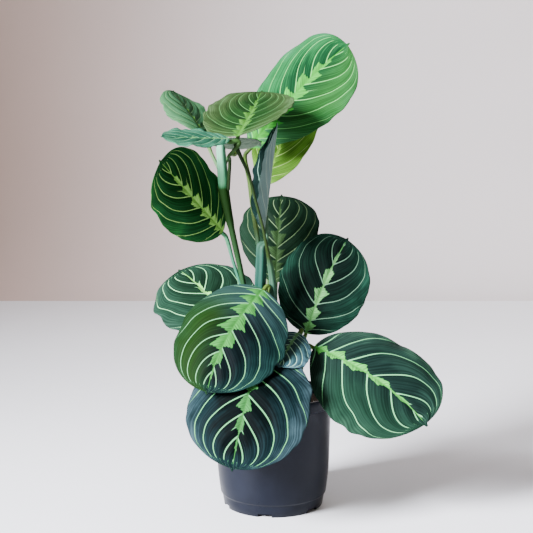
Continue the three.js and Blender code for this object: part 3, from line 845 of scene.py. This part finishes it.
class PLANT_OT_blades(bpy.types.Operator):
    """Builds the fifteen leaf blades"""
    bl_idname = "plant.blades"
    bl_label = "Build Blades"

    def execute(self, context):
        settings = context.scene.plant_blades
        for name, form in LEAVES.items():
            look = LOOKS[name]
            mesh = build_blade(name, {**form, **look}, settings)
            face = leaf_face_material(f"Satin leaf face, {name}", look, settings)
            under = leaf_under_material(f"Matt leaf underside, {name}", look, settings)
            piece = finish_mesh(f"blade_{name}", mesh, (face, under), f"leaf_{name}", "leaf_blade")
            shell = piece.modifiers.new("Thickness", "SOLIDIFY")
            shell.thickness = settings.thickness
            shell.offset = 0
            shell.material_offset = 1
        return {"FINISHED"}


def stem_axis(stem):
    """The points and radii of a stem, led on under the midrib of the blade that it carries."""
    points = [Vector(p) for p in stem["points"]]
    radii = list(stem.get("radii", [PETIOLE_RADIUS] * len(points)))
    if "carries" in stem:
        rows = midrib(LEAVES[stem["carries"]])
        for share, radius, ahead in STEM_ENDING:
            at, along, _, face = row_at(rows, share)
            points.append(at + along * ahead - face * (BLADE_CLEARANCE + radius))
            radii.append(radius)
    return points, radii


def smooth_axis(points, radii, steps):
    """Steps along a smooth curve through the points, each with its radius."""
    slopes = []
    for i in range(len(points)):
        before, after = points[max(i - 1, 0)], points[min(i + 1, len(points) - 1)]
        slopes.append((after - before).normalized())
    lengths = [(b - a).length for a, b in zip(points, points[1:])]
    total = sum(lengths)
    path = []
    for i, length in enumerate(lengths):
        count = max(round(steps * length / total), 3)
        reach = length / 3
        part = interpolate_bezier(points[i], points[i] + slopes[i] * reach,
                                  points[i + 1] - slopes[i + 1] * reach, points[i + 1], count + 1)
        for k in range(count + (i == len(lengths) - 1)):
            path.append((part[k], radii[i] + (radii[i + 1] - radii[i]) * smooth_step(k / count)))
    return path


def build_stem(stem, settings):
    """A closed tube round a stem's axis, with shallow grooves along it."""
    path = smooth_axis(*stem_axis(stem), settings.steps)
    steps, sides = len(path) - 1, settings.sides
    mesh, places = sheet_grid(sides, steps)
    groove = stem.get("groove", STEM_GROOVE)
    rings = []
    side = Vector((1, 0, 0))
    for i, (at, radius) in enumerate(path):
        ahead = path[min(i + 1, steps)][0] - path[max(i - 1, 0)][0]
        along = ahead.normalized()
        side = (side - along * side.dot(along)).normalized()
        rings.append((at, side.copy(), along.cross(side), radius))
    for vertex, (j, i) in zip(mesh.verts, places):
        at, across, other, radius = rings[i]
        angle = 2 * math.pi * (j % sides) / sides
        channel = math.exp(-(angle - CHANNEL_ANGLE) ** 2 / CHANNEL_SPREAD)
        ripple = 1 + groove * (RIDGE_SHARE * math.cos(STEM_RIDGES * angle) - channel)
        end = 1 if 0 < i < steps else STEM_END_SHARE
        offset = across * math.cos(angle) + other * math.sin(angle)
        vertex.co = (at + offset * radius * ripple * end) * MM
    wrap = mesh.loops.layers.uv.new("stem")
    for face in mesh.faces:
        for loop in face.loops:
            j, i = places[loop.vert.index]
            loop[wrap].uv = (i / steps, j / sides)
    bmesh.ops.remove_doubles(mesh, verts=mesh.verts, dist=SEAM_DISTANCE * MM)
    bmesh.ops.holes_fill(mesh, edges=[e for e in mesh.edges if e.is_boundary])
    bmesh.ops.recalc_face_normals(mesh, faces=mesh.faces)
    return mesh


class PLANT_OT_stems(bpy.types.Operator):
    """Builds the canes, sheaths and petioles"""
    bl_idname = "plant.stems"
    bl_label = "Build Stems"

    def execute(self, context):
        settings = context.scene.plant_stems
        slots = {part["node"]: part["material_slot"] for part in frame["record"]["subparts"]}
        for name, stem in STEMS.items():
            mesh = build_stem(stem, settings)
            finish = stem_material(f"Green stem skin, {name}", stem.get("colours", PETIOLE_COLOURS))
            finish_mesh(f"skin_{name}", mesh, (finish,), name, slots[name])
        return {"FINISHED"}


def pot_cuts():
    """The bodies that cut the notches in the foot ring and the drain holes in the floor."""
    mesh = bmesh.new()
    for i in range(DRAINS):
        angle = math.radians(NOTCH_FIRST_ANGLE + 360 * i / DRAINS)
        notch = Matrix.Rotation(angle, 4, "Z") @ Matrix.Translation((NOTCH_CIRCLE * MM, 0, 0))
        bmesh.ops.create_cube(mesh, size=1, matrix=notch @ Matrix.Diagonal(
            (NOTCH_SIZE[0] * MM, NOTCH_SIZE[1] * MM, NOTCH_SIZE[2] * MM, 1)))
        drain = Matrix.Rotation(angle + math.pi / DRAINS, 4, "Z")
        drain = drain @ Matrix.Translation((DRAIN_CIRCLE * MM, 0, DRAIN_MIDDLE * MM))
        bmesh.ops.create_cone(mesh, cap_ends=True, segments=32, radius1=DRAIN_RADIUS * MM,
                              radius2=DRAIN_RADIUS * MM, depth=DRAIN_DEPTH * MM, matrix=drain)
    return add_object("cutter", mesh)


class PLANT_OT_pot(bpy.types.Operator):
    """Builds the nursery pot"""
    bl_idname = "plant.pot"
    bl_label = "Build Pot"

    def execute(self, context):
        settings = context.scene.plant_pot
        mesh = turn_profile(POT_PROFILE, settings.segments)
        piece = finish_mesh("nursery_pot", mesh, (pot_material(settings),), "pot", "pot_plastic")
        tools = pot_cuts()
        cut = piece.modifiers.new("Notches and drains", "BOOLEAN")
        cut.object = tools
        cut.solver = "EXACT"
        graph = context.evaluated_depsgraph_get()
        done = bpy.data.meshes.new_from_object(piece.evaluated_get(graph))
        piece.modifiers.clear()
        piece.data = done
        done.shade_smooth()
        done.set_sharp_from_angle(angle=math.radians(POT_SHARP_ANGLE))
        bpy.data.objects.remove(tools)
        return {"FINISHED"}


def soil_height(x, y):
    """The height of the soil's uneven top in mm, kept a little below its flat level."""
    lump = noise.noise(Vector((x, y, 0)) * 0.11) * 0.9 + noise.noise(Vector((x, y, 3)) * 0.45) * 0.5
    return SOIL_TOP - 0.8 + lump


def crumb(mesh, at, size, flatness, chance, index):
    """Adds a rough grain of that size, lying on the soil, and gives its faces."""
    made = bmesh.ops.create_icosphere(mesh, subdivisions=1, radius=size * MM)
    turn = Matrix.Rotation(chance.uniform(0, 6.28), 3, "Z") @ Matrix.Rotation(
        chance.uniform(-0.5, 0.5), 3, "X")
    for vertex in made["verts"]:
        jolt = 1 + 0.45 * noise.noise(vertex.co * 300 + Vector((index * 3.7, 0, 0)))
        grain = Vector((vertex.co.x, vertex.co.y * 0.75, vertex.co.z * flatness)) * jolt
        vertex.co = turn @ grain + at
    return [f for v in made["verts"] for f in v.link_faces]


def loose_bits(count):
    """Perlite and bark, strewn at random on the soil, each kind with its own material index."""
    chance = random.Random(7)
    mesh = bmesh.new()
    for i in range(count):
        angle, out = chance.uniform(0, 2 * math.pi), math.sqrt(chance.random()) * BITS_CIRCLE
        x, y = out * math.cos(angle), out * math.sin(angle)
        kind = 0 if chance.random() < PERLITE_SHARE else 1
        smallest, largest, flatness = BITS[kind]
        size = chance.uniform(smallest, largest)
        at = Vector((x, y, soil_height(x, y) + 0.2)) * MM
        for face in crumb(mesh, at, size, flatness, chance, i):
            face.material_index = kind
    return mesh


class PLANT_OT_soil(bpy.types.Operator):
    """Builds the potting soil with its loose bits"""
    bl_idname = "plant.soil"
    bl_label = "Build Soil"

    def execute(self, context):
        settings = context.scene.plant_soil
        profile = [(SOIL_RADIUS * i / SOIL_RINGS, SOIL_TOP) for i in range(SOIL_RINGS + 1)]
        profile += [(SOIL_RADIUS, SOIL_TOP - SOIL_DEPTH), (0, SOIL_TOP - SOIL_DEPTH)]
        mesh = turn_profile(profile, SOIL_SEGMENTS)
        for vertex in mesh.verts:
            if vertex.co.z > (SOIL_TOP - 1) * MM:
                vertex.co.z = soil_height(vertex.co.x / MM, vertex.co.y / MM) * MM
        finish_mesh("peat", mesh, (soil_material(settings),), "soil", "potting_soil")
        perlite = crumb_material("Expanded perlite", "#e4e0d8", "#b4aca0", 900.0)
        bark = crumb_material("Pine bark chips", "#6c4c34", "#2c1c14", 500.0)
        finish_mesh("perlite_and_bark", loose_bits(settings.bits), (perlite, bark), None,
                    "potting_soil")
        return {"FINISHED"}


def area_light(name, power, spot, target, size, spread, colour):
    """A square soft light at a spot, which shines at a target within that many degrees."""
    data = bpy.data.lights.new(name, "AREA")
    data.size = size
    data.spread = math.radians(spread)
    data.energy = power
    data.color = linear(colour)[:3]
    light = bpy.data.objects.new(name, data)
    aim = (Vector(target) - Vector(spot)).to_track_quat("-Z", "Y")
    light.matrix_world = Matrix.Translation(spot) @ aim.to_matrix().to_4x4()
    light.visible_camera = False
    bpy.context.scene.collection.objects.link(light)


class PLANT_OT_stage(bpy.types.Operator):
    """Sets the floor, the wall, the soft lights and the camera"""
    bl_idname = "plant.stage"
    bl_label = "Set Stage"

    def execute(self, context):
        settings = context.scene.plant_stage
        floor = bmesh.new()
        bmesh.ops.create_grid(floor, x_segments=1, y_segments=1, size=STAGE_REACH)
        floor_piece = finish_mesh("floor", floor, (
            paint_material("White floor paint", settings.floor_colour, settings.floor_colour, 0.55),))
        wall, places = sheet_grid(1, WALL_STEPS)
        for vertex, (j, i) in zip(wall.verts, places):
            angle = min(i / (WALL_STEPS - 1), 1) * math.pi / 2
            rise = WALL_CURVE * (1 - math.cos(angle)) + (WALL_HEIGHT if i == WALL_STEPS else 0)
            depth = WALL_START + WALL_CURVE * math.sin(angle)
            vertex.co = Vector(((2 * j - 1) * STAGE_REACH, depth, rise))
        wall_piece = finish_mesh("wall", wall, (
            paint_material("Off-white wall paint", settings.wall_colour, settings.painted_shade_colour, 0.9),))

        for name, (power, *facts) in LIGHTS.items():
            area_light(name, getattr(settings, power), *facts)
        world = bpy.data.worlds.new("Room")
        context.scene.world = world
        world.use_nodes = True
        feed(world.node_tree.nodes["Background"], {"Color": linear("#f8ece6"), "Strength": 0.2})

        view = bpy.data.cameras.new("Camera")
        view.lens = settings.lens
        view.sensor_width = 36
        camera = bpy.data.objects.new("Camera", view)
        camera.location = CAMERA_SPOT
        camera.rotation_euler = (math.radians(90 - CAMERA_PITCH), 0, 0)
        context.scene.collection.objects.link(camera)
        context.scene.camera = camera
        return {"FINISHED"}


class PLANT_PT_panel(bpy.types.Panel):
    """Lists the steps that build the plant"""
    bl_idname = "PLANT_PT_panel"
    bl_label = "Potted Prayer Plant"
    bl_space_type = "VIEW_3D"
    bl_region_type = "UI"
    bl_category = "Plant"

    def draw(self, context):
        for step in STEPS:
            self.layout.operator(step.bl_idname)


GROUPS = {
    "plant_blades": BladeSettings,
    "plant_stems": StemSettings,
    "plant_pot": PotSettings,
    "plant_soil": SoilSettings,
    "plant_stage": StageSettings,
}
STEPS = (PLANT_OT_pot, PLANT_OT_soil, PLANT_OT_stems, PLANT_OT_blades, PLANT_OT_stage)


def register():
    for name, group in GROUPS.items():
        bpy.utils.register_class(group)
        setattr(bpy.types.Scene, name, PointerProperty(type=group))
    for item in (*STEPS, PLANT_PT_panel):
        bpy.utils.register_class(item)


def unregister():
    for item in (PLANT_PT_panel, *reversed(STEPS)):
        bpy.utils.unregister_class(item)
    for name, group in reversed(GROUPS.items()):
        delattr(bpy.types.Scene, name)
        bpy.utils.unregister_class(group)


def main():
    register()
    bpy.ops.plant.pot()
    bpy.ops.plant.soil()
    bpy.ops.plant.stems()
    bpy.ops.plant.blades()
    bpy.ops.plant.stage()


if __name__ == "__main__":
    main()
